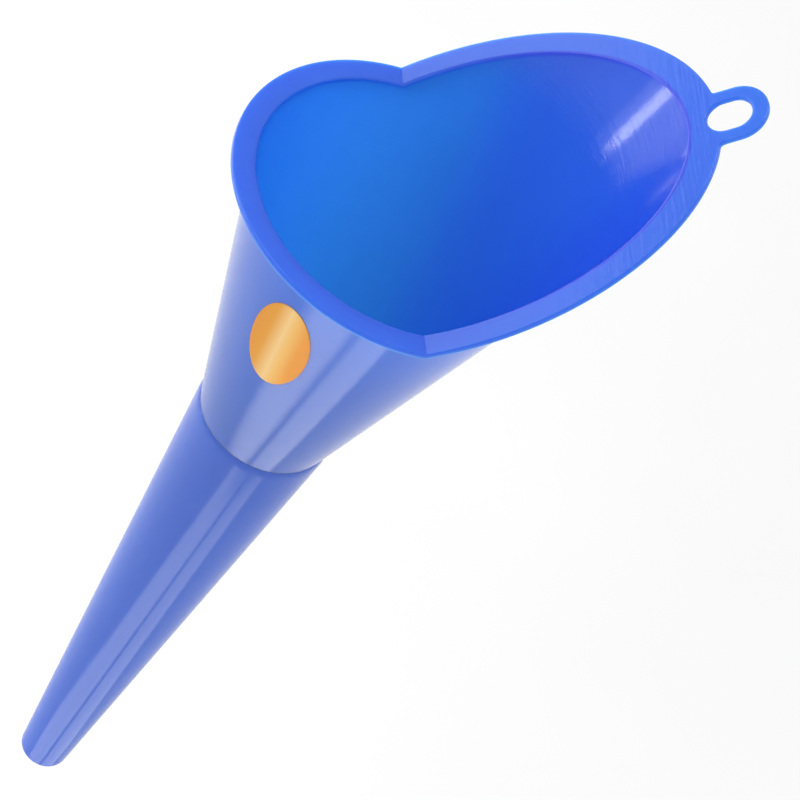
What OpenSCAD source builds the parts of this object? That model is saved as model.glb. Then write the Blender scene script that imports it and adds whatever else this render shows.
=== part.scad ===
// Two-piece fuel funnel: a conical cup with a raised splash guard at the back and a hanging tab,
// a long tapered spout pushed over the cup's lower end, and a blank oval foil label on the cup.
// Millimetres, +Z up along the axis. The origin is the centre of the outlet's end face, and the
// high side of the mouth, with the tab, points along +X.

/* [Cup] */
// Outer radius of the cup wall at the level part of the rim
mouth_r = 45; // [43:0.5:48]
// Height of the cup from its joint with the spout to the level part of the rim
cup_depth = 101; // [92:1:110]
// Lean of the cup wall away from the vertical, in degrees
cup_lean = 13.4; // [12:0.1:14]
// Thickness of the cup and spout walls
wall = 1.2; // [1:0.1:1.4]

/* [Rim] */
// Slope of the raised half of the rim, in degrees
rim_slope = 44.7; // [35:0.1:50]
// Distance from the axis to the fold between the level and the sloping rim
fold_x = 1.7; // [0:0.1:4]
// Width of the flange outside the wall round the level part
flange_w = 5.6; // [4:0.1:8]
// Width of the flange outside the wall at the top of the slope
flange_back = 6.5; // [5:0.1:8]
// Thickness of the flange
flange_t = 1.8; // [1.4:0.1:2.4]

/* [Hanging tab] */
// Length of the tab beyond the flange
tab_len = 13.4; // [11:0.1:16]
// Radius of the tab's round end, and half its width
tab_r = 8.7; // [8:0.1:10]
// Thickness of the tab
tab_t = 1.6; // [1.2:0.1:1.8]
// Width of the oval hole
hole_w = 9.6; // [8:0.1:10]
// Length of the oval hole
hole_len = 12.4; // [11:0.1:13]
// Distance from the flange's edge to the middle of the hole
hole_at = 2.6; // [2:0.1:3]

/* [Spout] */
// Length of the spout from its top edge to the outlet
spout_len = 202; // [150:1:230]
// Outer radius of the spout at the outlet
tip_r = 8.2; // [7.5:0.1:9.5]
// How far the spout's top edge stands out from the cup
step = 0.55; // [0.3:0.05:0.8]
// Radius of the short straight bore at the outlet
outlet_r = 6.6; // [6:0.1:6.8]
// Length of that bore
outlet_len = 6; // [4:0.5:8]

/* [Joint] */
// Length of the cup's spigot inside the spout
spigot_len = 14; // [10:0.5:18]
// Clearance between spigot and spout, on the radius
fit_gap = 0.05; // [0.02:0.01:0.1]
// Gap between the spout's top edge and the cup's shoulder
seat_gap = 0.1; // [0.05:0.05:0.2]
// Height over which the cup's bore narrows into the spigot
throat_h = 6; // [4:0.5:10]

/* [Label] */
// Length of the oval label, up the cup
label_len = 40; // [30:1:44]
// Width of the label
label_w = 18.8; // [14:0.2:24]
// Thickness of the label
label_t = 0.15; // [0.1:0.05:0.3]
// Depth of the label's middle below the level rim
label_drop = 36.5; // [30:0.5:50]
// Direction that the label faces, in degrees from the high side of the mouth
label_az = -131.4; // [-150:1:-60]

/* [Hidden] */
$fn = 96;
rim_z = spout_len + cup_depth;
spigot_z = spout_len - spigot_len;
shoulder_z = spout_len + seat_gap;
throat_z = spout_len + throat_h;
lean_k = tan(cup_lean);
slope_k = tan(rim_slope);
wall_h = wall / cos(cup_lean);
tip_round = [0.4, 1.4];
// The spout's top edge rounds in until it is flush with the cup
top_round = [step, 3];
arc_steps = 6;
oval_sides = 144;
// The film of glue under the label
glue = 0.05;
over = 1;

// The wall cut by the sloping plane is an ellipse. These are its half sizes in plan, its middle
// in plan, and its middle measured up the slope from the fold.
cut_m = lean_k * slope_k;
cut_p = mouth_r - lean_k * slope_k * fold_x;
plan_a = cut_p / (1 - cut_m * cut_m);
plan_c = plan_a * cut_m;
slope_c = (plan_c - fold_x) / cos(rim_slope);
rim_a = plan_a / cos(rim_slope) + flange_back;
// At the fold the sloping flange stands out a little past the level one and laps onto it
fold_step = 0.25;
fold_lap = 0.4;
fold_y = sqrt(pow(mouth_r + flange_w, 2) - fold_x * fold_x) + fold_step;
rim_b = fold_y / sqrt(1 - pow(slope_c / rim_a, 2));
edge_s = slope_c + rim_a;
mitre = flange_t * tan(rim_slope / 2);
high_z = rim_z + (plan_a + plan_c - fold_x) * slope_k;
top_z = high_z + 10;
far = 200;

function cup_out(z) = mouth_r - (rim_z - z) * lean_k;
function cup_in(z) = cup_out(z) - wall_h;
spout_top_r = cup_out(spout_len) + step;
function spout_out(z) = tip_r + (spout_top_r - tip_r) * z / spout_len;
function spout_in(z) = spout_out(z) - wall;
function spigot_out(z) = spout_in(z) - fit_gap;
function spigot_in(z) = spigot_out(z) - wall;
// A quarter of an oval with half sizes r, from angle a to angle b
function quarter(c, r, a, b) =
    [for (i = [0:arc_steps]) let (t = a + (b - a) * i / arc_steps) [c[0] + r[0] * cos(t), c[1] + r[1] * sin(t)]];
function oval(a, b) = [for (i = [0:oval_sides - 1]) let (t = 360 * i / oval_sides) [a * cos(t), b * sin(t)]];

// Puts its children in the plane of the sloping rim: x runs up the slope from the fold
module on_slope() {
    translate([fold_x, 0, rim_z])
        rotate([0, -rim_slope, 0])
            children();
}

module cup_outside() {
    rotate_extrude()
        polygon([
            [0, spigot_z],
            [spigot_out(spigot_z), spigot_z],
            [spigot_out(shoulder_z), shoulder_z],
            [cup_out(shoulder_z), shoulder_z],
            [cup_out(top_z), top_z],
            [0, top_z]
        ]);
}

module cup_bore() {
    rotate_extrude()
        polygon([
            [0, spigot_z - over],
            [spigot_in(spigot_z - over), spigot_z - over],
            [spigot_in(spout_len), spout_len],
            [cup_in(throat_z), throat_z],
            [cup_in(top_z + over), top_z + over],
            [0, top_z + over]
        ]);
}

// Everything under the level rim and, past the fold, under the sloping rim
module under_rim() {
    rotate([90, 0, 0])
        linear_extrude(height = far, center = true)
            polygon([
                [-far, spigot_z - over],
                [far, spigot_z - over],
                [far, rim_z + (far - fold_x) * slope_k],
                [fold_x, rim_z],
                [-far, rim_z]
            ]);
}

// Everything over the flange's folded underside
module over_flange() {
    rotate([90, 0, 0])
        linear_extrude(height = far, center = true)
            polygon([
                [-far, rim_z - flange_t],
                [fold_x + mitre, rim_z - flange_t],
                [far, rim_z - flange_t + (far - fold_x - mitre) * slope_k],
                [far, rim_z + far],
                [-far, rim_z + far]
            ]);
}

// The outline of the level flange runs a little past the fold, inside the wider sloping one
module level_outline() {
    intersection() {
        translate([0, 0, rim_z - flange_t - over])
            cylinder(r = mouth_r + flange_w, h = flange_t + 2 * over);
        translate([fold_x + 2 * mitre - far, -far / 2, rim_z - far / 2])
            cube([far, far, far]);
    }
}

// The outline of the sloping flange starts a little before the mitre plane through the fold
module sloping_outline() {
    intersection() {
        on_slope()
            translate([slope_c, 0, -flange_t - over])
                linear_extrude(height = flange_t + 2 * over)
                    polygon(oval(rim_a, rim_b));
        translate([fold_x - fold_lap, 0, rim_z])
            rotate([0, -rim_slope / 2, 0])
                translate([0, -far / 2, -far / 2])
                    cube([far, far, far]);
    }
}

module tab() {
    tab_c = edge_s + tab_len - tab_r;
    on_slope()
        translate([0, 0, -tab_t]) {
            translate([tab_c, 0, 0])
                cylinder(r = tab_r, h = tab_t + over);
            translate([edge_s - tab_r / 2, -tab_r, 0])
                cube([tab_c - edge_s + tab_r / 2, 2 * tab_r, tab_t + over]);
        }
}

module tab_hole() {
    half = (hole_len - hole_w) / 2;
    on_slope()
        translate([edge_s + hole_at, 0, -flange_t - over]) {
            for (side = [-1, 1])
                translate([side * half, 0, 0])
                    cylinder(d = hole_w, h = flange_t + 2 * over);
            translate([-half, -hole_w / 2, 0])
                cube([2 * half, hole_w, flange_t + 2 * over]);
        }
}

module cup() {
    color([0.24, 0.40, 0.86])
        difference() {
            intersection() {
                union() {
                    cup_outside();
                    tab();
                    intersection() {
                        over_flange();
                        union() {
                            level_outline();
                            sloping_outline();
                        }
                    }
                }
                under_rim();
            }
            cup_bore();
            tab_hole();
        }
}

module spout() {
    color([0.22, 0.37, 0.82])
        rotate_extrude()
            polygon(concat(
                [[outlet_r, 0]],
                quarter([spout_out(tip_round[1]) - tip_round[0], tip_round[1]], tip_round, -90, 0),
                quarter([spout_out(spout_len) - top_round[0], spout_len - top_round[1]], top_round, 0, 90),
                [
                    [spout_in(spout_len), spout_len],
                    [spout_in(outlet_len), outlet_len],
                    [outlet_r, outlet_len]
                ]
            ));
}

module label() {
    label_z = rim_z - label_drop;
    low_z = label_z - label_len;
    high_label_z = label_z + label_len;
    color([0.92, 0.65, 0.20])
        intersection() {
            rotate_extrude()
                polygon([
                    [cup_out(low_z) + glue, low_z],
                    [cup_out(low_z) + glue + label_t, low_z],
                    [cup_out(high_label_z) + glue + label_t, high_label_z],
                    [cup_out(high_label_z) + glue, high_label_z]
                ]);
            rotate([0, 0, label_az])
                translate([cup_out(label_z), 0, label_z])
                    rotate([0, 90 + cup_lean, 0])
                        linear_extrude(height = cup_out(label_z), center = true)
                            polygon(oval(label_len / 2, label_w / 2));
        }
}

cup();
spout();
label();
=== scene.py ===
"""Looks of a two-piece fuel funnel: a cup with a raised guard and tab, a long spout and a blank label."""

import math

import bmesh
import bpy
import numpy as np
from mathutils import Matrix, Vector
from mathutils.geometry import delaunay_2d_cdt


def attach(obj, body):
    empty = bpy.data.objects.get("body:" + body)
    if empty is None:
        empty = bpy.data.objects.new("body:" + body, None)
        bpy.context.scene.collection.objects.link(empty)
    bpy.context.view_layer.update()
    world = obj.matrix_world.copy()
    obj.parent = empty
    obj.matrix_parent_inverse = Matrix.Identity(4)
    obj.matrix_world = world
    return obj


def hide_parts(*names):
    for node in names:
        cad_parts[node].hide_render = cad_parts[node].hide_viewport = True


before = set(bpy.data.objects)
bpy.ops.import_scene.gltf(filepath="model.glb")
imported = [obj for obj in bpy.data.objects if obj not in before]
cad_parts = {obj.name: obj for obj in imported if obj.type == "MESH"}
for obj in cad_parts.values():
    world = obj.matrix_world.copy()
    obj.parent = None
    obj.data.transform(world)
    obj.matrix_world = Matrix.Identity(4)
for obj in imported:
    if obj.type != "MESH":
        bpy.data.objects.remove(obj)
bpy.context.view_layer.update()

# Driving dimensions, in millimetres and degrees, as in the CAD
MM = 0.001
MOUTH_R = 45.0
CUP_DEPTH = 101.0
LEAN = math.radians(13.4)
WALL = 1.2
SLOPE = math.radians(44.7)
FOLD_X = 1.7
FLANGE_W = 5.6
FLANGE_BACK = 6.5
FLANGE_T = 1.8
TAB_LEN = 13.4
TAB_R = 8.7
TAB_T = 1.6
HOLE_LEN = 12.4
HOLE_W = 9.6
HOLE_AT = 2.6
SPOUT_LEN = 202.0
TIP_R = 8.2
STEP = 0.55
OUTLET_R = 6.6
OUTLET_LEN = 6.0
SPIGOT_LEN = 14.0
FIT_GAP = 0.05
SEAT_GAP = 0.1
THROAT_H = 6.0
LABEL_LEN = 40.0
LABEL_W = 18.8
LABEL_T = 0.15
LABEL_DROP = 36.5
LABEL_AZ = math.radians(-131.4)

# Roundings that the moulding has
INNER_EDGE_R = 1.0
OUTER_EDGE_R = 0.4
HOLE_EDGE_R = 0.65
UNDER_FILLET_R = 0.7
TAB_ROOT_R = 1.0
TIP_ROUND = (0.4, 1.4)
TOP_ROUND = (STEP, 3.0)
SHOULDER_EDGE_R = 0.08
SPIGOT_ROOT_R = 0.2
SPIGOT_END_R = 0.25
THROAT_LOW_R = 1.0
THROAT_HIGH_R = 1.5
SPOUT_EDGE_R = 0.1
LEDGE_R = 0.2
OUTLET_EDGE_R = 0.15
# Half the width of the strip that rounds the fold in the rim
CREASE = 0.22
# The flange thins to the tab from just inside its edge, over a short length
TAB_THIN_FROM, TAB_THIN_LEN = -1.0, 1.6
# The foil's underside stays this far off the wall, and its edge rolls over
LABEL_LIFT = 0.01
LABEL_EDGE = 0.004
LABEL_EDGE_DROP = 0.6

# Mesh density
LEVEL_STEPS = 150
SLOPE_STEPS = 84
TAB_STEPS = 24
ROUND_STEPS = 5
WALL_ROWS = 16
LATHE_STEPS = 224
ROOT_ARC_STEPS = 7
TAB_SIDE_STEPS = 4
TAB_END_STEPS = 20
HOLE_STEPS = 64
LABEL_RINGS = 16
LABEL_STEPS = 96
SPOUT_ROW_GAP = 9

K = math.tan(LEAN)
M = math.tan(SLOPE)
WALL_H = WALL / math.cos(LEAN)
RIM_Z = SPOUT_LEN + CUP_DEPTH
SHOULDER_Z = SPOUT_LEN + SEAT_GAP
SPIGOT_Z = SPOUT_LEN - SPIGOT_LEN
THROAT_Z = SPOUT_LEN + THROAT_H


def cup_out(z):
    return MOUTH_R - (RIM_Z - z) * K


def cup_in(z):
    return cup_out(z) - WALL_H


SPOUT_TOP_R = cup_out(SPOUT_LEN) + STEP


def spout_out(z):
    return TIP_R + (SPOUT_TOP_R - TIP_R) * z / SPOUT_LEN


def spout_in(z):
    return spout_out(z) - WALL


def spigot_out(z):
    return spout_in(z) - FIT_GAP


def spigot_in(z):
    return spigot_out(z) - WALL


def unit(v):
    v = np.asarray(v, float)
    return v / np.linalg.norm(v, axis=-1, keepdims=True)


def turn(a, b, t):
    """The direction t of the way round from unit vectors a to unit vectors b."""
    dot = np.clip((a * b).sum(-1, keepdims=True), -1, 1)
    w = np.arccos(dot)
    s = np.where(np.sin(w) < 1e-6, 1, np.sin(w))
    out = (np.sin((1 - t) * w) * a + np.sin(t * w) * b) / s
    return np.where(w < 1e-6, a, out)


class Shell:
    """Points with their exact normals, and the faces between rows of them."""

    def __init__(self):
        self.co, self.no, self.faces = [], [], []

    def row(self, points, normals):
        start = len(self.co)
        self.co += [tuple(p) for p in points]
        self.no += [tuple(n) for n in unit(normals)]
        return list(range(start, len(self.co)))

    def band(self, a, b, closed=True, skip=()):
        count = len(a)
        for i in range(count if closed else count - 1):
            j = (i + 1) % count
            if i not in skip:
                self.faces.append((a[i], a[j], b[j], b[i]))

    def object(self, name, material, body, node):
        mesh = bpy.data.meshes.new(name)
        mesh.from_pydata([tuple(c * MM for c in p) for p in self.co], [], self.faces)
        mesh.update()
        shape = bmesh.new()
        shape.from_mesh(mesh)
        bmesh.ops.recalc_face_normals(shape, faces=shape.faces)
        shape.to_mesh(mesh)
        shape.free()
        mesh.polygons.foreach_set("use_smooth", [True] * len(mesh.polygons))
        mesh.normals_split_custom_set_from_vertices([tuple(n) for n in self.no])
        mesh.materials.append(material)
        piece = bpy.data.objects.new(name, mesh)
        bpy.context.scene.collection.objects.link(piece)
        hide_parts(node)
        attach(piece, body)
        return piece


# ---------------------------------------------------------------- profiles of turned parts


def rounded(corners):
    """Rows (r, z, normal r, normal z) round a closed profile. A corner is (r, z, radius)."""
    rows = []
    count = len(corners)
    area = sum(p[0] * q[1] - q[0] * p[1] for p, q in zip(corners, corners[1:] + corners[:1]))
    way = 1 if area > 0 else -1
    for i, (r, z, radius) in enumerate(corners):
        here = np.array([r, z])
        a = unit(np.array(corners[i - 1][:2]) - here)
        b = unit(np.array(corners[(i + 1) % count][:2]) - here)
        n0 = way * np.array([-a[1], a[0]])
        n1 = way * np.array([b[1], -b[0]])
        bulge = 1 if way * (a[0] * b[1] - a[1] * b[0]) < 0 else -1
        half = math.acos(max(-1, min(1, float(a @ b)))) / 2
        centre = here + unit(a + b) * radius / math.sin(half)
        for k in range(ROUND_STEPS + 1):
            n = turn(n0, n1, k / ROUND_STEPS)
            rows.append((*(centre + bulge * radius * n), *n))
    return rows


def quarter(cr, cz, rr, rz, a, b):
    """Rows along a quarter of an oval."""
    rows = []
    for k in range(2 * ROUND_STEPS + 1):
        t = math.radians(a + (b - a) * k / (2 * ROUND_STEPS))
        n = unit([math.cos(t) / rr, math.sin(t) / rz])
        rows.append((cr + rr * math.cos(t), cz + rz * math.sin(t), *n))
    return rows


def ring(shell, row, azimuths):
    r, z, nr, nz = row
    c, s = np.cos(azimuths), np.sin(azimuths)
    return shell.row(
        np.stack([r * c, r * s, np.full(len(c), z)], 1),
        np.stack([nr * c, nr * s, np.full(len(c), nz)], 1),
    )


# ---------------------------------------------------------------- the cup's rim, station by station

ES = np.array([math.cos(SLOPE), 0, math.sin(SLOPE)])
EN = np.array([-math.sin(SLOPE), 0, math.cos(SLOPE)])
UP = np.array([0.0, 0, 1])
FOLD = np.array([FOLD_X, 0, RIM_Z])


def on_slope(s, y, n=0.0):
    """Points from coordinates in the sloping plane."""
    s, y = np.asarray(s, float), np.asarray(y, float)
    return FOLD + s[..., None] * ES + y[..., None] * np.array([0, 1, 0]) + n * EN


class ConeCut:
    """Where a wall with that radius at the level rim meets the folded plane a drop below the rim."""

    def __init__(self, radius, drop):
        self.z = RIM_Z - drop
        self.x = FOLD_X + drop * math.tan(SLOPE / 2)
        self.r = radius - drop * K
        a = self.r - K * M * self.x
        m = K * M
        self.xc = a * m / (1 - m * m)
        self.pa = a / (1 - m * m)
        self.pb = a / math.sqrt(1 - m * m)

    def level(self, angles):
        height = np.full(len(angles), self.z)
        return np.stack([self.r * np.cos(angles), self.r * np.sin(angles), height], 1)

    def level_angle(self, inset):
        return math.acos((self.x - inset) / self.r)

    def slope(self, taus):
        x = self.xc + self.pa * np.cos(taus)
        return np.stack([x, self.pb * np.sin(taus), self.z + (x - self.x) * M], 1)

    def slope_angle(self, inset):
        return math.acos((self.x + inset * math.cos(SLOPE) - self.xc) / self.pa)


inner_cut = ConeCut(MOUTH_R - WALL_H, 0.0)
outer_cut = ConeCut(MOUTH_R, FLANGE_T)
wall_cut = ConeCut(MOUTH_R, 0.0)
SLOPE_C = (wall_cut.xc - FOLD_X) / math.cos(SLOPE)
RIM_A = wall_cut.pa / math.cos(SLOPE) + FLANGE_BACK
OUTLINE_R = MOUTH_R + FLANGE_W
FOLD_Y = math.sqrt(OUTLINE_R**2 - FOLD_X**2)
RIM_B = FOLD_Y / math.sqrt(1 - (SLOPE_C / RIM_A) ** 2)
EDGE_S = SLOPE_C + RIM_A
TAB_C = EDGE_S + TAB_LEN - TAB_R
# The tab's root is found by halving the outline's angle between 0 and this limit
TAB_ROOT_LIMIT = 0.6
TAB_ROOT_HALVINGS = 60


def rim_oval(tau):
    """Point and outward normal of the sloping flange's outline, in its plane."""
    p = np.stack([SLOPE_C + RIM_A * np.cos(tau), RIM_B * np.sin(tau)], -1)
    n = unit(np.stack([np.cos(tau) / RIM_A, np.sin(tau) / RIM_B], -1))
    return p, n


def tab_root():
    """Where a small arc joins the outline to the tab's side: the outline's angle, and the arc's middle."""
    low, high = 0.0, TAB_ROOT_LIMIT
    for _ in range(TAB_ROOT_HALVINGS):
        mid = (low + high) / 2
        p, n = rim_oval(mid)
        if p[1] + TAB_ROOT_R * n[1] < TAB_R + TAB_ROOT_R:
            low = mid
        else:
            high = mid
    p, n = rim_oval(low)
    return low, p + TAB_ROOT_R * n


ROOT_TAU, ROOT_C = tab_root()


def tab_outline():
    """Points and normals in the sloping plane, round the tab from its root at -y to its root at +y.

    Both ends are left out.
    """
    _, n_end = rim_oval(ROOT_TAU)
    start = math.atan2(-n_end[1], -n_end[0])
    arc = []
    for k in range(1, ROOT_ARC_STEPS + 1):
        a = start + (-math.pi / 2 - start) * k / ROOT_ARC_STEPS
        d = np.array([math.cos(a), math.sin(a)])
        arc.append((ROOT_C + TAB_ROOT_R * d, -d))
    side = []
    for k in range(1, TAB_SIDE_STEPS):
        x = ROOT_C[0] + (TAB_C - ROOT_C[0]) * k / TAB_SIDE_STEPS
        side.append((np.array([x, TAB_R]), np.array([0, 1.0])))
    end = []
    for k in range(TAB_END_STEPS + 1):
        a = math.pi / 2 * (1 - k / TAB_END_STEPS)
        d = np.array([math.cos(a), math.sin(a)])
        end.append((np.array([TAB_C, 0]) + TAB_R * d, d))
    half = arc + side + end
    flip = np.array([1, -1])
    low = [(p * flip, n * flip) for p, n in half]
    both = low + half[-2::-1]
    return np.array([p for p, _ in both]), np.array([n for _, n in both])


def hole_outline():
    """Points and normals of the slotted hole, in the sloping plane. The normals point into the hole."""
    half, r = (HOLE_LEN - HOLE_W) / 2, HOLE_W / 2
    points, normals = [], []
    for k in range(HOLE_STEPS):
        a = 2 * math.pi * (k + 0.5) / HOLE_STEPS
        d = np.array([math.cos(a), math.sin(a)])
        shift = half if math.cos(a) > 0 else -half
        points.append(np.array([EDGE_S + HOLE_AT + shift, 0]) + r * d)
        normals.append(-d)
    return np.array(points), np.array(normals)


# Each row of the rim has the same stations: fold, level part, fold, slope, tab, slope
v_tab = ROOT_TAU / math.acos((CREASE - SLOPE_C) / RIM_A)
side_v = np.linspace(-1, -v_tab, SLOPE_STEPS + 1)
tab_v = np.linspace(-v_tab, v_tab, TAB_STEPS + 1)[1:-1]
slope_v = np.concatenate([side_v, tab_v, -side_v[::-1]])
level_u = np.linspace(0, 1, LEVEL_STEPS + 1)
FIRST_SLOPE = LEVEL_STEPS + 3
TAB_FROM = FIRST_SLOPE + SLOPE_STEPS
TAB_TO = TAB_FROM + TAB_STEPS
STATIONS = FIRST_SLOPE + len(slope_v)
HALF_FOLD = unit(UP + EN)


def plane_normals(count_slope):
    return np.concatenate(
        [[HALF_FOLD], np.tile(UP, (LEVEL_STEPS + 1, 1)), [HALF_FOLD], np.tile(EN, (count_slope, 1))]
    )


def cut_points(cut):
    a0, a1 = cut.level_angle(0), cut.level_angle(CREASE)
    level = cut.level(a1 + level_u * (2 * math.pi - 2 * a1))
    slope = cut.slope(slope_v * cut.slope_angle(CREASE))
    return np.concatenate([cut.level(np.array([a0])), level, cut.level(np.array([-a0])), slope])


def wall_normals(points, outward):
    """Normals of the cup's conical wall at those points."""
    d = unit(points[:, :2])
    n = np.concatenate([d * math.cos(LEAN), np.full((len(d), 1), -math.sin(LEAN))], 1)
    return n if outward else -n


def outline_points():
    """The flange's outer edge on the top plane, with its in-plane normals."""
    a1 = math.acos((FOLD_X - CREASE) / OUTLINE_R)
    angles = a1 + level_u * (2 * math.pi - 2 * a1)
    radial = np.stack([np.cos(angles), np.sin(angles), np.zeros(len(angles))], 1)
    level = OUTLINE_R * radial + np.array([0, 0, RIM_Z])
    side_p, side_n = rim_oval(side_v * math.acos((CREASE - SLOPE_C) / RIM_A))
    tab_p, tab_n = tab_outline()
    flip = np.array([1, -1])
    plan_p = np.concatenate([side_p, tab_p, side_p[::-1] * flip])
    plan_n = np.concatenate([side_n, tab_n, side_n[::-1] * flip])
    slope = on_slope(plan_p[:, 0], plan_p[:, 1])
    slope_n = plan_n[:, :1] * ES + plan_n[:, 1:] * np.array([0, 1, 0])
    fold_p = np.array([FOLD_X, FOLD_Y, RIM_Z])
    fold_n = unit(radial[0] + slope_n[-1])
    mirror = np.array([1, -1, 1])
    points = np.concatenate([[fold_p], level, [fold_p * mirror], slope])
    normals = np.concatenate([[fold_n], radial, [fold_n * mirror], slope_n])
    return points, unit(normals), len(tab_p)


def thickness(points):
    """The flange's thickness at those points: the tab is a little thinner."""
    s = (points - FOLD) @ ES
    t = np.clip((s - EDGE_S - TAB_THIN_FROM) / TAB_THIN_LEN, 0, 1)
    return FLANGE_T - (FLANGE_T - TAB_T) * t * t * (3 - 2 * t)


def flat_fill(shell, loops, holes):
    """Triangles over a region of the sloping plane, between existing points."""
    index, plan, edges = [], [], []
    for loop in loops + holes:
        start = len(index)
        for k, i in enumerate(loop):
            p = np.array(shell.co[i]) - FOLD
            plan.append(Vector((float(p @ ES), float(p[1]))))
            index.append(i)
            edges.append((start + k, start + (k + 1) % len(loop)))
    verts, _, tris, origin, _, _ = delaunay_2d_cdt(plan, edges, [], 0, 1e-7)
    outer = [plan[k] for k in range(len(loops[0]))]
    inner = [plan[k] for k in range(len(loops[0]), len(plan))]

    def inside(q, poly):
        found = False
        for k in range(len(poly)):
            a, b = poly[k - 1], poly[k]
            if (a.y > q.y) != (b.y > q.y) and q.x < (b.x - a.x) * (q.y - a.y) / (b.y - a.y) + a.x:
                found = not found
        return found

    for tri in tris:
        q = sum((verts[k] for k in tri), Vector((0, 0))) / 3
        if inside(q, outer) and not inside(q, inner):
            shell.faces.append(tuple(index[origin[k][0]] for k in tri))


def rolled_edge(shell, outline, side, up, down, thick, radius):
    """Rows from the top face round an edge to the bottom face. Down is scaled to keep a mitre's thickness."""
    rows = []
    for k in range(ROUND_STEPS + 1):
        a = math.pi / 2 * k / ROUND_STEPS
        points = outline - radius * (1 - math.sin(a)) * side + radius * (1 - math.cos(a)) * down
        rows.append(shell.row(points, math.cos(a) * up + math.sin(a) * side))
    for k in range(ROUND_STEPS + 1):
        a = math.pi / 2 * k / ROUND_STEPS
        points = outline - radius * (1 - math.cos(a)) * side + (thick - radius * (1 - math.sin(a))) * down
        rows.append(shell.row(points, math.cos(a) * side - math.sin(a) * up))
    return rows


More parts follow.
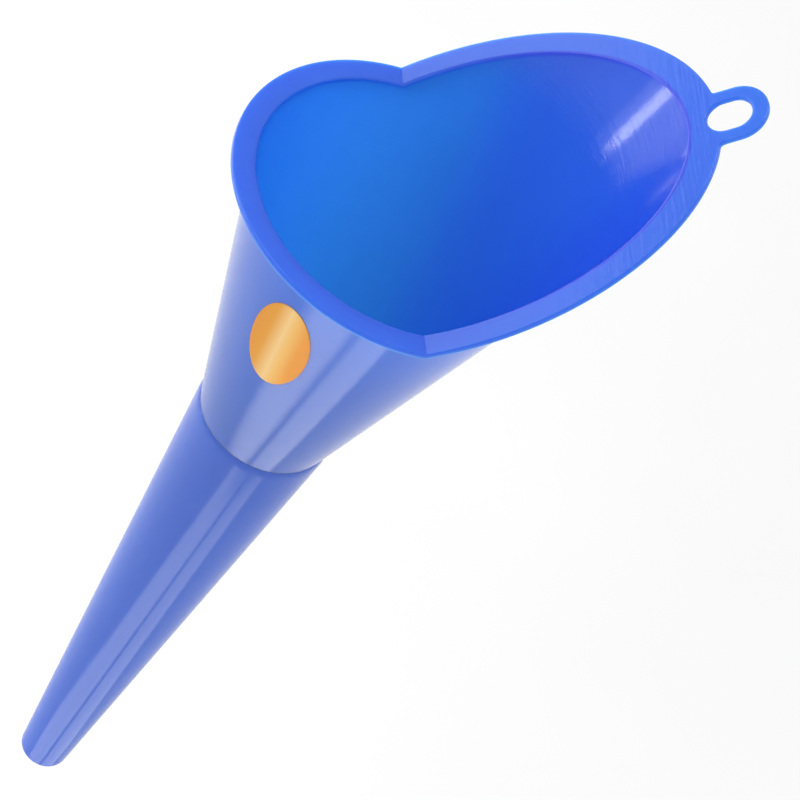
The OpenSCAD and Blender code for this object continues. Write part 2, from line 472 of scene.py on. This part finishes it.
def build_cup(material):
    shell = Shell()
    up = plane_normals(len(slope_v))
    edge, edge_n, tab_count = outline_points()
    edge_up = plane_normals(len(edge) - FIRST_SLOPE)
    plane_up = np.where(np.arange(len(edge))[:, None] < FIRST_SLOPE, UP, EN)
    edge_down = -edge_up * (1 / np.maximum((edge_up * plane_up).sum(1, keepdims=True), 0.5))

    # Inner edge of the mouth, from the wall up to the flange's top
    corner = cut_points(inner_cut)
    wall_n = wall_normals(corner, outward=False)
    centre = corner - INNER_EDGE_R * (wall_n + up) / (1 + (wall_n * up).sum(1, keepdims=True))
    inner_top, mouth_rows = None, []
    for k in range(ROUND_STEPS + 1):
        n = turn(wall_n, up, k / ROUND_STEPS)
        points = centre + INNER_EDGE_R * n
        if k == 0:
            inner_top = points
        mouth_rows.append(shell.row(points, n))
    for a, b in zip(mouth_rows, mouth_rows[1:]):
        shell.band(a, b)

    # Outer edge: top rounding, edge face, bottom rounding
    edge_rows = rolled_edge(shell, edge, edge_n, edge_up, edge_down, thickness(edge)[:, None], OUTER_EDGE_R)
    for a, b in zip(edge_rows, edge_rows[1:]):
        shell.band(a, b)

    # Fillet between the flange's underside and the wall
    corner = cut_points(outer_cut)
    out_n = wall_normals(corner, outward=True)
    centre = corner + UNDER_FILLET_R * (out_n - up) / (1 - (out_n * up).sum(1, keepdims=True))
    fillet_rows, outer_top = [], None
    for k in range(ROUND_STEPS + 1):
        n = turn(-up, out_n, k / ROUND_STEPS)
        outer_top = centre - UNDER_FILLET_R * n
        fillet_rows.append(shell.row(outer_top, n))
    for a, b in zip(fillet_rows, fillet_rows[1:]):
        shell.band(a, b)

    # Flat top and underside of the flange, with the tab and its hole
    shift = len(edge) - STATIONS
    edge_of = {i: i if i <= TAB_FROM else i + shift for i in range(STATIONS)}
    hole, hole_n = hole_outline()
    hole_side = hole_n[:, :1] * ES + hole_n[:, 1:] * np.array([0, 1, 0])
    hole_top = on_slope(hole[:, 0], hole[:, 1])
    hole_rows = rolled_edge(shell, hole_top, hole_side, EN, -EN, thickness(hole_top)[:, None], HOLE_EDGE_R)
    for a, b in zip(hole_rows, hole_rows[1:]):
        shell.band(b, a)
    for near, far, hole_row, flip in (
        (mouth_rows[-1], edge_rows[0], hole_rows[0], False),
        (fillet_rows[0], edge_rows[-1], hole_rows[-1], True),
    ):
        for i in range(STATIONS):
            j = (i + 1) % STATIONS
            if TAB_FROM <= i < TAB_TO:
                continue
            quad = (near[i], near[j], far[edge_of[j]], far[edge_of[i]])
            shell.faces.append(quad[::-1] if flip else quad)
        outline = [far[k] for k in range(TAB_FROM, TAB_FROM + tab_count + 2)]
        inward = [near[k] for k in range(TAB_TO, TAB_FROM - 1, -1)]
        flat_fill(shell, [outline + inward], [hole_row])

    # Walls, throat and spigot. The profile's last two corners only close it, and are left out
    in_az = np.unwrap(np.arctan2(inner_top[:, 1], inner_top[:, 0]))
    out_az = np.unwrap(np.arctan2(outer_top[:, 1], outer_top[:, 0]))
    low = rounded(
        [
            (cup_out(SHOULDER_Z), SHOULDER_Z, SHOULDER_EDGE_R),
            (spigot_out(SHOULDER_Z), SHOULDER_Z, SPIGOT_ROOT_R),
            (spigot_out(SPIGOT_Z), SPIGOT_Z, SPIGOT_END_R),
            (spigot_in(SPIGOT_Z), SPIGOT_Z, SPIGOT_END_R),
            (spigot_in(SPOUT_LEN), SPOUT_LEN, THROAT_LOW_R),
            (cup_in(THROAT_Z), THROAT_Z, THROAT_HIGH_R),
            (cup_in(RIM_Z), RIM_Z, 0.5),
            (cup_out(RIM_Z), RIM_Z, 0.5),
        ]
    )[: 6 * (ROUND_STEPS + 1)]
    low_rows = [
        ring(shell, row, out_az + (in_az - out_az) * k / (len(low) - 1)) for k, row in enumerate(low)
    ]
    for a, b in zip(low_rows, low_rows[1:]):
        shell.band(a, b)

    def wall(top, azimuths, bottom, radius_at, outward, top_row, bottom_row):
        rows = [top_row]
        for k in range(1, WALL_ROWS):
            z = top[:, 2] + (bottom[1] - top[:, 2]) * k / WALL_ROWS
            r = np.array([radius_at(h) for h in z])
            points = np.stack([r * np.cos(azimuths), r * np.sin(azimuths), z], 1)
            rows.append(shell.row(points, wall_normals(points, outward)))
        rows.append(bottom_row)
        for a, b in zip(rows, rows[1:]):
            shell.band(a, b)

    wall(outer_top, out_az, low[0], cup_out, True, fillet_rows[-1], low_rows[0])
    wall(inner_top, in_az, low[-1], cup_in, False, mouth_rows[0], low_rows[-1])
    return shell.object("cup_shell", material, "cup", "cup")


def build_spout(material):
    shell = Shell()
    rows = quarter(
        spout_out(TIP_ROUND[1]) - TIP_ROUND[0], TIP_ROUND[1], *TIP_ROUND, -90, 0
    )
    rows += quarter(
        spout_out(SPOUT_LEN - TOP_ROUND[1]) - TOP_ROUND[0], SPOUT_LEN - TOP_ROUND[1], *TOP_ROUND, 0, 90
    )
    inner = rounded(
        [
            (spout_in(SPOUT_LEN), SPOUT_LEN, SPOUT_EDGE_R),
            (spout_in(OUTLET_LEN), OUTLET_LEN, LEDGE_R),
            (OUTLET_R, OUTLET_LEN, LEDGE_R),
            (OUTLET_R, 0, OUTLET_EDGE_R),
            (spout_out(0), 0, SPOUT_EDGE_R),
            (spout_out(SPOUT_LEN), SPOUT_LEN, SPOUT_EDGE_R),
        ]
    )[: 4 * (ROUND_STEPS + 1)]
    rows += inner
    azimuths = np.arange(LATHE_STEPS) * 2 * math.pi / LATHE_STEPS
    filled = []
    for a, b in zip(rows, rows[1:] + rows[:1]):
        filled.append(a)
        gap = math.dist(a[:2], b[:2])
        parts = int(gap // SPOUT_ROW_GAP)
        for k in range(1, parts):
            filled.append(tuple(p + (q - p) * k / parts for p, q in zip(a, b)))
    loops = [ring(shell, row, azimuths) for row in filled]
    for a, b in zip(loops, loops[1:] + loops[:1]):
        shell.band(a, b)
    return shell.object("spout_shell", material, "spout", "spout")


def build_label(material):
    """A thin oval foil that follows the cup's wall."""
    shell = Shell()
    z0 = RIM_Z - LABEL_DROP
    angles = np.arange(LABEL_STEPS) * 2 * math.pi / LABEL_STEPS
    down = math.cos(LEAN)

    def patch(scale, lift, tilt):
        along = scale * LABEL_LEN / 2 * np.cos(angles)
        across = scale * LABEL_W / 2 * np.sin(angles)
        z = z0 + along * down
        r = np.array([cup_out(h) for h in z])
        az = LABEL_AZ + np.arcsin(across / r)
        sunk = np.full(LABEL_STEPS, -math.sin(LEAN))
        face = np.stack([np.cos(az) * math.cos(LEAN), np.sin(az) * math.cos(LEAN), sunk], 1)
        points = np.stack([r * np.cos(az), r * np.sin(az), z], 1) + lift * face
        around = np.sin(angles)
        edge = unit(np.stack([-np.sin(az) * around, np.cos(az) * around, np.cos(angles)], 1))
        return points, face * math.cos(tilt) + edge * math.sin(tilt)

    rows = [shell.row(*patch(k / LABEL_RINGS, LABEL_T, 0)) for k in range(1, LABEL_RINGS + 1)]
    rolled = [(1 - LABEL_EDGE, LABEL_T, 0.2), (1, LABEL_T * LABEL_EDGE_DROP, 1.2), (1, LABEL_LIFT, 1.4)]
    rows[-1:] = [shell.row(*patch(*step)) for step in rolled]
    for a, b in zip(rows, rows[1:]):
        shell.band(b, a)
    middle = np.array([cup_out(z0) * math.cos(LABEL_AZ), cup_out(z0) * math.sin(LABEL_AZ), z0])
    out = math.cos(LEAN)
    face = np.array([math.cos(LABEL_AZ) * out, math.sin(LABEL_AZ) * out, -math.sin(LEAN)])
    tip = shell.row([middle + LABEL_T * face], [face])[0]
    base = shell.row([middle + LABEL_LIFT * face], [-face])[0]
    for k in range(LABEL_STEPS):
        j = (k + 1) % LABEL_STEPS
        shell.faces.append((tip, rows[0][j], rows[0][k]))
    back = []
    for k in range(LABEL_RINGS, 0, -1):
        points, normals = patch(k / LABEL_RINGS, LABEL_LIFT, 0)
        back.append(shell.row(points, -normals))
    for a, b in zip([rows[-1]] + back, back):
        shell.band(b, a)
    for k in range(LABEL_STEPS):
        j = (k + 1) % LABEL_STEPS
        shell.faces.append((base, back[-1][k], back[-1][j]))
    return shell.object("label_foil_skin", material, "cup", "label")


# ---------------------------------------------------------------- materials


class Nodes:
    """Short calls for building one material's node tree."""

    def __init__(self, name):
        self.material = bpy.data.materials.new(name)
        self.material.use_nodes = True
        self.tree = self.material.node_tree
        self.tree.nodes.clear()
        self.out = self.add("ShaderNodeOutputMaterial")
        self.shader = self.add("ShaderNodeBsdfPrincipled")
        self.link(self.shader.outputs["BSDF"], self.out.inputs["Surface"])
        self.place = self.add("ShaderNodeTexCoord").outputs["Object"]

    def add(self, kind, **settings):
        node = self.tree.nodes.new(kind)
        for key, value in settings.items():
            setattr(node, key, value)
        return node

    def link(self, a, b):
        self.tree.links.new(a, b)

    def mapped(self, scale, rotation=(0, 0, 0)):
        node = self.add("ShaderNodeMapping")
        node.inputs["Scale"].default_value = scale
        node.inputs["Rotation"].default_value = rotation
        self.link(self.place, node.inputs["Vector"])
        return node.outputs["Vector"]

    def noise(self, scale, detail=3.0, roughness=0.5, where=None):
        node = self.add("ShaderNodeTexNoise")
        node.inputs["Scale"].default_value = scale
        node.inputs["Detail"].default_value = detail
        node.inputs["Roughness"].default_value = roughness
        self.link(where or self.place, node.inputs["Vector"])
        return node.outputs["Fac"]

    def ramp(self, value, stops):
        node = self.add("ShaderNodeValToRGB")
        ramp = node.color_ramp
        while len(ramp.elements) < len(stops):
            ramp.elements.new(0.5)
        for element, (position, colour) in zip(ramp.elements, stops):
            element.position = position
            element.color = colour if len(colour) == 4 else (*colour, 1)
        self.link(value, node.inputs["Fac"])
        return node.outputs["Color"]

    def scaled(self, value, low, high):
        node = self.add("ShaderNodeMapRange")
        node.inputs["To Min"].default_value = low
        node.inputs["To Max"].default_value = high
        self.link(value, node.inputs["Value"])
        return node.outputs["Result"]

    def math(self, operation, a, b):
        """One Math node on sockets or plain numbers."""
        node = self.add("ShaderNodeMath", operation=operation)
        for socket, value in zip(node.inputs, (a, b)):
            if isinstance(value, (int, float)):
                socket.default_value = value
            else:
                self.link(value, socket)
        return node.outputs[0]

    def on_wall(self, split, value):
        """The value on the cup's inner wall, fading to nothing over the rounded edge of the flange."""
        plan = self.add("ShaderNodeCombineXYZ")
        self.link(split.outputs["X"], plan.inputs["X"])
        self.link(split.outputs["Y"], plan.inputs["Y"])
        reach = self.add("ShaderNodeVectorMath", operation="LENGTH")
        self.link(plan.outputs["Vector"], reach.inputs[0])
        cone = self.math("MULTIPLY_ADD", split.outputs["Z"], K)
        cone.node.inputs[2].default_value = cup_out(0) * MM
        outside = self.math("SUBTRACT", reach.outputs["Value"], cone)
        fade = self.add("ShaderNodeMapRange", interpolation_type="SMOOTHSTEP")
        fade.inputs["From Min"].default_value = (EDGE_FADE[0] * INNER_EDGE_R - WALL_H) * MM
        fade.inputs["From Max"].default_value = (EDGE_FADE[1] * INNER_EDGE_R - WALL_H) * MM
        fade.inputs["To Min"].default_value = 1
        fade.inputs["To Max"].default_value = 0
        self.link(outside, fade.inputs["Value"])
        return self.math("MULTIPLY", value, fade.outputs["Result"])

    def bump(self, heights):
        """Heights are (socket, distance in millimetres)."""
        normal = None
        for height, distance in heights:
            node = self.add("ShaderNodeBump")
            node.inputs["Strength"].default_value = 1.0
            node.inputs["Distance"].default_value = distance * MM
            self.link(height, node.inputs["Height"])
            if normal is not None:
                self.link(normal, node.inputs["Normal"])
            normal = node.outputs["Normal"]
        self.link(normal, self.shader.inputs["Normal"])


CUP_DEEP, CUP_CLEAR = (0.014, 0.078, 0.47), (0.017, 0.094, 0.53)
SPOUT_DEEP, SPOUT_CLEAR = (0.042, 0.120, 0.53), (0.052, 0.140, 0.60)
# Painted shade: a deeper tone painted on the inner wall of the raised guard, standing in for the shade there:
# how far each colour is cut, where it fades in along X in metres, and where it fades out over the rounded
# edge, in parts of that edge's radius
GUARD_SHADE = (0.8, 0.36, 0.88)
GUARD_FROM, GUARD_TO = -0.004, 0.036
EDGE_FADE = (0.25, 0.8)
# Scattering reach in each colour, in millimetres, and the height of the turning marks
CUP_REACH, CUP_RINGS = (5.0, 7.5, 12.5), 0.045
SPOUT_REACH, SPOUT_RINGS = (1.0, 1.4, 1.6), 0.008
GLOSS = (0.08, 0.17)
WAVE_H, GRAIN_H = 0.07, 0.001
# Colours across the gold foil, from one side to the other, with a painted highlight band down its middle, and
# the lean of that painted highlight in degrees
GOLD_SHEEN_BAND = [
    (0.0, (0.66, 0.24, 0.006)),
    (0.28, (0.70, 0.30, 0.016)),
    (0.5, (0.80, 0.53, 0.21)),
    (0.62, (0.76, 0.43, 0.10)),
    (0.8, (0.68, 0.26, 0.009)),
    (1.0, (0.64, 0.22, 0.005)),
]
GOLD_SHEEN_LEAN = 17.8
COCKLE_H, FOIL_GRAIN_H = 0.03, 0.003


def blue_plastic(name, seed, ring_height, reach, deep, clear, guard=False):
    """Glossy, slightly translucent polyethylene, with flow clouds and fine turning marks from the mould."""
    n = Nodes(name)
    clouds = n.noise(22.0, 4.0, 0.55, n.mapped((1, 1, 0.35), (0, 0, seed)))
    tone = n.ramp(clouds, [(0.32, deep), (0.68, clear)])
    # Painted shade: the raised guard's inner wall is darkened, fading out over the rounded edge of the flange
    if guard:
        split = n.add("ShaderNodeSeparateXYZ")
        n.link(n.place, split.inputs["Vector"])
        along = n.add("ShaderNodeMapRange", interpolation_type="SMOOTHSTEP")
        along.inputs["From Min"].default_value = GUARD_FROM
        along.inputs["From Max"].default_value = GUARD_TO
        n.link(split.outputs["X"], along.inputs["Value"])
        painted_guard_shade = n.ramp(n.on_wall(split, along.outputs["Result"]), [(0.0, (1, 1, 1)), (1.0, GUARD_SHADE)])
        mix = n.add("ShaderNodeVectorMath", operation="MULTIPLY")
        n.link(tone, mix.inputs[0])
        n.link(painted_guard_shade, mix.inputs[1])
        tone = mix.outputs["Vector"]
    n.link(tone, n.shader.inputs["Base Color"])
    smear = n.noise(48.0, 5.0, 0.6, n.mapped((1, 1, 0.12), (0, 0, seed)))
    n.link(n.scaled(smear, *GLOSS), n.shader.inputs["Roughness"])
    rings = n.noise(1.0, 3.0, 0.65, n.mapped((55, 55, 1300), (0, 0, seed)))
    waves = n.noise(26.0, 1.0, 0.4, n.mapped((1, 1, 0.5), (0, 0, seed)))
    grain = n.noise(1500.0, 2.0, 0.5)
    n.bump([(waves, WAVE_H), (rings, ring_height), (grain, GRAIN_H)])
    s = n.shader.inputs
    s["IOR"].default_value = 1.5
    s["Specular IOR Level"].default_value = 0.45
    s["Subsurface Weight"].default_value = 1.0
    s["Subsurface Radius"].default_value = reach
    s["Subsurface Scale"].default_value = 1.0 * MM
    return n.material


def gold_foil():
    """Gold foil with a painted highlight: a soft light band that runs down it at a slant, and a fine grain.
    """
    n = Nodes("gold_foil")
    split = n.add("ShaderNodeSeparateXYZ")
    aim = n.add("ShaderNodeMapping", vector_type="POINT")
    z0 = (RIM_Z - LABEL_DROP) * MM
    r0 = cup_out(RIM_Z - LABEL_DROP) * MM
    aim.inputs["Location"].default_value = (-r0 * math.cos(LABEL_AZ), -r0 * math.sin(LABEL_AZ), -z0)
    n.link(n.place, aim.inputs["Vector"])
    spin = n.add("ShaderNodeMapping", vector_type="POINT")
    spin.inputs["Rotation"].default_value = (0, 0, -LABEL_AZ - math.pi / 2)
    n.link(aim.outputs["Vector"], spin.inputs["Vector"])
    lean = n.add("ShaderNodeMapping", vector_type="POINT")
    lean.inputs["Rotation"].default_value = (0, math.radians(GOLD_SHEEN_LEAN), 0)
    lean.inputs["Scale"].default_value = (1 / (LABEL_W * MM), 1, 1)
    n.link(spin.outputs["Vector"], lean.inputs["Vector"])
    n.link(lean.outputs["Vector"], split.inputs["Vector"])
    across = n.scaled(split.outputs["X"], 0, 1)
    across.node.inputs["From Min"].default_value = -0.5
    across.node.inputs["From Max"].default_value = 0.5
    # Painted highlight: the paler middle of this colour ramp stands in for a reflection on the foil
    n.link(n.ramp(across, GOLD_SHEEN_BAND), n.shader.inputs["Base Color"])
    grain = n.noise(2200.0, 2.0, 0.5)
    cockle = n.noise(90.0, 2.0, 0.5)
    n.bump([(cockle, COCKLE_H), (grain, FOIL_GRAIN_H)])
    n.link(n.scaled(n.noise(300.0, 3.0, 0.6), 0.34, 0.48), n.shader.inputs["Roughness"])
    n.shader.inputs["Specular IOR Level"].default_value = 0.25
    n.shader.inputs["Metallic"].default_value = 0.25
    return n.material


cup_blue = blue_plastic("cup_blue_plastic", 0.0, CUP_RINGS, CUP_REACH, CUP_DEEP, CUP_CLEAR, guard=True)
spout_blue = blue_plastic("spout_blue_plastic", 1.3, SPOUT_RINGS, SPOUT_REACH, SPOUT_DEEP, SPOUT_CLEAR)
build_cup(cup_blue)
build_spout(spout_blue)
build_label(gold_foil())

# ---------------------------------------------------------------- floor, light and camera

FLOOR_Z = -0.22
FLOOR_HALF = 4.0
# The camera's place is in millimetres from the middle of the level rim
CAMERA_AT = (-296.4, -539.7, 578.0)
CAMERA_RIGHT = (0.9120, -0.0632, 0.4052)
CAMERA_FORWARD = (0.3616, 0.5902, -0.7218)
CAMERA_SENSOR, CAMERA_LENS = 36.0, 140.688


def pale_floor():
    n = Nodes("pale_floor")
    tone = n.noise(3.0, 3.0)
    pale = n.ramp(tone, [(0.3, (0.88, 0.88, 0.885)), (0.7, (0.92, 0.92, 0.92))])
    n.link(pale, n.shader.inputs["Base Color"])
    n.shader.inputs["Roughness"].default_value = 0.9
    n.shader.inputs["Specular IOR Level"].default_value = 0.1
    mesh = bpy.data.meshes.new("floor")
    corners = [(x * FLOOR_HALF, y * FLOOR_HALF, FLOOR_Z) for x, y in ((-1, -1), (1, -1), (1, 1), (-1, 1))]
    mesh.from_pydata(corners, [], [(0, 1, 2, 3)])
    mesh.materials.append(n.material)
    floor = bpy.data.objects.new("floor", mesh)
    bpy.context.scene.collection.objects.link(floor)


def area_light(name, azimuth, elevation, distance, size, radiance, target=(0, 0, 0.28)):
    """A soft panel that faces the target. Radiance is what it shows; the power follows from its size."""
    a, e = math.radians(azimuth), math.radians(elevation)
    away = Vector((math.cos(a) * math.cos(e), math.sin(a) * math.cos(e), math.sin(e)))
    light = bpy.data.lights.new(name, "AREA")
    light.shape = "RECTANGLE"
    light.size, light.size_y = size
    light.energy = radiance * math.pi * size[0] * size[1]
    lamp = bpy.data.objects.new(name, light)
    bpy.context.scene.collection.objects.link(lamp)
    aim = away.to_track_quat("Z", "Y").to_matrix().to_4x4()
    lamp.matrix_world = Matrix.Translation(Vector(target) + away * distance) @ aim
    lamp.visible_camera = False
    return lamp


def world_light(strength):
    world = bpy.data.worlds.new("studio")
    world.use_nodes = True
    back = world.node_tree.nodes["Background"]
    back.inputs["Color"].default_value = (1, 1, 1, 1)
    back.inputs["Strength"].default_value = strength
    bpy.context.scene.world = world


def camera():
    data = bpy.data.cameras.new("camera")
    data.sensor_width = CAMERA_SENSOR
    data.lens = CAMERA_LENS
    data.clip_start, data.clip_end = 0.01, 20
    right = Vector(CAMERA_RIGHT).normalized()
    forward = Vector(CAMERA_FORWARD).normalized()
    up = right.cross(forward).normalized()
    right = forward.cross(up)
    place = Vector((CAMERA_AT[0], CAMERA_AT[1], RIM_Z + CAMERA_AT[2])) * MM
    cam = bpy.data.objects.new("camera", data)
    bpy.context.scene.collection.objects.link(cam)
    cam.matrix_world = Matrix.Translation(place) @ Matrix((right, up, -forward)).transposed().to_4x4()
    bpy.context.scene.camera = cam


pale_floor()
world_light(0.9)
area_light("key", azimuth=115, elevation=66, distance=1.6, size=(0.5, 0.5), radiance=6)
area_light("back_left", 140, 8, distance=0.9, size=(1.1, 0.8), radiance=1.5, target=(0, 0, 0.25))
# Two low panels put pale reflections down the cup and spout, with a darker line where they leave a gap
area_light("low_left", 0, -90, distance=0.2, size=(0.156, 0.28), radiance=1.8, target=(-0.082, -0.215, 0))
area_light("low_right", 0, -90, distance=0.2, size=(0.116, 0.28), radiance=1.4, target=(0.082, -0.215, 0))
# Two small panels put the streak on the inside of the guard
area_light("strip_left", 159, -17, distance=1.1, size=(0.13, 0.15), radiance=8, target=(0.02, 0, 0.30))
area_light("strip_back", 118, -25, distance=1.0, size=(0.06, 0.05), radiance=7, target=(0.02, 0, 0.32))
camera()
bpy.context.scene.view_settings.view_transform = "Standard"
